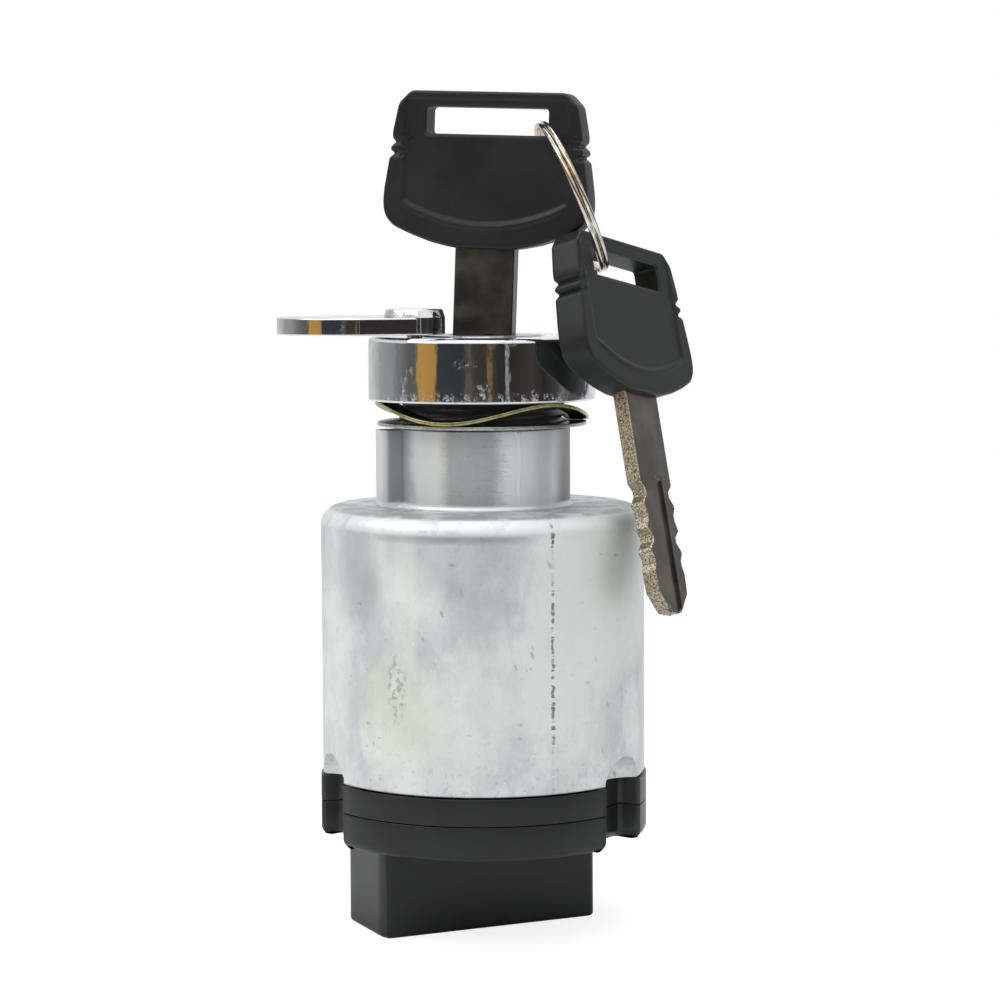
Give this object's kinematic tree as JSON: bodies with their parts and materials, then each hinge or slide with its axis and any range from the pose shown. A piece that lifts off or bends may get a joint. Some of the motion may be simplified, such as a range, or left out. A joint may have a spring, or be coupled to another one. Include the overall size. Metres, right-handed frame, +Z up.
{
  "type": "ignition switch",
  "caption": "Panel ignition switch in a round zinc body with a chromed bezel, swing-aside dust cover, moulded connector foot, a key in the lock and a spare key on a split ring.",
  "frame": {"origin": "centre of the outline at the height of the connector shroud's rim, which the switch stands on", "axes": "+Z up along the lock's axis, towards the key; the shroud's broad sides face -Y and +Y"},
  "size_m": [0.0586, 0.0499, 0.1186],
  "materials": {
    "cast_zinc": "as cast, stained",
    "plug_zinc": "satin",
    "holder_black": "satin moulded",
    "base_black": "satin moulded",
    "bezel_chrome": "polished",
    "cover_chrome": "polished",
    "key_black": "satin moulded",
    "key_steel": "dark plated, bright cut edges",
    "ring_nickel": "bright nickel",
    "wave_yellow": "yellow zinc",
    "washer_zinc": "zinc plated",
    "terminal_brass": "satin",
    "screw_steel": "zinc plated",
    "spring_steel": "drawn wire",
    "wafer_brass": "stamped",
    "contact_copper": "stamped",
    "rotor_nylon": "moulded",
    "clip_steel": "oiled",
    "pin_chrome": "polished",
    "ball_steel": "polished"
  },
  "bodies": {
    "switch": {"housing": "cast_zinc", "contact_holder": "holder_black", "terminal_base": "base_black", "terminal_1": "terminal_brass", "terminal_2": "terminal_brass", "terminal_3": "terminal_brass", "terminal_4": "terminal_brass", "terminal_5": "terminal_brass", "terminal_6": "terminal_brass", "base_screw_1": "screw_steel", "base_screw_2": "screw_steel", "base_screw_3": "screw_steel", "bezel_ring": "bezel_chrome", "cover_pivot_pin": "pin_chrome", "cover_spring": "spring_steel", "wave_washer": "wave_yellow", "flat_washer": "washer_zinc", "return_spring": "spring_steel"},
    "plug": {"lock_plug": "plug_zinc", "wafer_1": "wafer_brass", "wafer_2": "wafer_brass", "wafer_3": "wafer_brass", "wafer_4": "wafer_brass", "wafer_spring_1": "spring_steel", "wafer_spring_2": "spring_steel", "wafer_spring_3": "spring_steel", "wafer_spring_4": "spring_steel", "plug_clip": "clip_steel", "rotor": "rotor_nylon", "detent_ball_1": "ball_steel", "detent_ball_2": "ball_steel", "detent_spring_1": "spring_steel", "detent_spring_2": "spring_steel", "moving_contact": "contact_copper", "contact_spring_1": "spring_steel", "contact_spring_2": "spring_steel"},
    "key_1": {"key_1_blade": "key_steel", "key_1_head": "key_black"},
    "ring": {"split_ring": "ring_nickel"},
    "key_2": {"key_2_blade": "key_steel", "key_2_head": "key_black"},
    "cover": {"dust_cover": "cover_chrome"}
  },
  "joints": [
    {"name": "plug_turn", "type": "hinge", "parent": "switch", "child": "plug", "pos_m": [-0.00092, 0.00168, 0.084], "axis": [0, 0, 1], "range_deg": [-80, 36]},
    {"name": "key_pull", "type": "slide", "parent": "plug", "child": "key_1", "axis": [0.0294, -0.0274, 0.9992], "range_m": [0, 0.02]},
    {"name": "ring_swing", "type": "hinge", "parent": "key_1", "child": "ring", "pos_m": [0.00545, -0.00425, 0.11335], "axis": [-0.682, -0.7314, 0], "range_deg": [0, 22]},
    {"name": "spare_key_swing", "type": "hinge", "parent": "ring", "child": "key_2", "pos_m": [0.01214, -0.01003, 0.0932], "axis": [-0.3894, -0.9109, 0.1368], "range_deg": [0, 14]},
    {"name": "cover_swing", "type": "hinge", "parent": "switch", "child": "cover", "pos_m": [-0.01228, -0.00065, 0.0844], "axis": [0, 0, 1], "range_deg": [0, 14], "stiffness_Nm_per_rad": 0.004, "springref_deg": -97.4}
  ]
}
